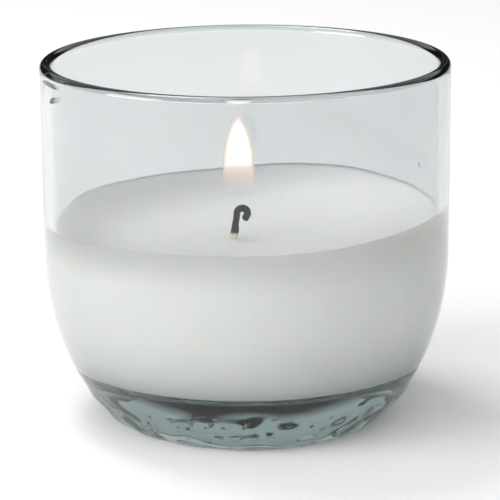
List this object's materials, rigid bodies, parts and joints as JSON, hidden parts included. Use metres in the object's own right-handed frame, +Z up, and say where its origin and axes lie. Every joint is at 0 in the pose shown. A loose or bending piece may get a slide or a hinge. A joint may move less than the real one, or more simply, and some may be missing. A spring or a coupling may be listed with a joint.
{
  "type": "tealight holder",
  "caption": "Clear glass tealight cup with a rounded base, filled with white wax around an off-centre charred wick.",
  "frame": {"origin": "centre of the foot ring, on the plane that the cup stands on", "axes": "+Z up along the axis of the cup, +X and +Y across it, with the wick's tip curling towards +X"},
  "size_m": [0.07, 0.07, 0.0622],
  "materials": {
    "glass": "polished",
    "wax": "satin",
    "wick_cotton": "matte",
    "tinned_steel": "satin",
    "adhesive": "satin",
    "label_paper": "matte"
  },
  "bodies": {
    "root": {"glass_cup": "glass", "wax_fill": "wax", "wick": "wick_cotton", "wick_sustainer": "tinned_steel", "wick_adhesive": "adhesive", "base_label": "label_paper"}
  },
  "joints": []
}
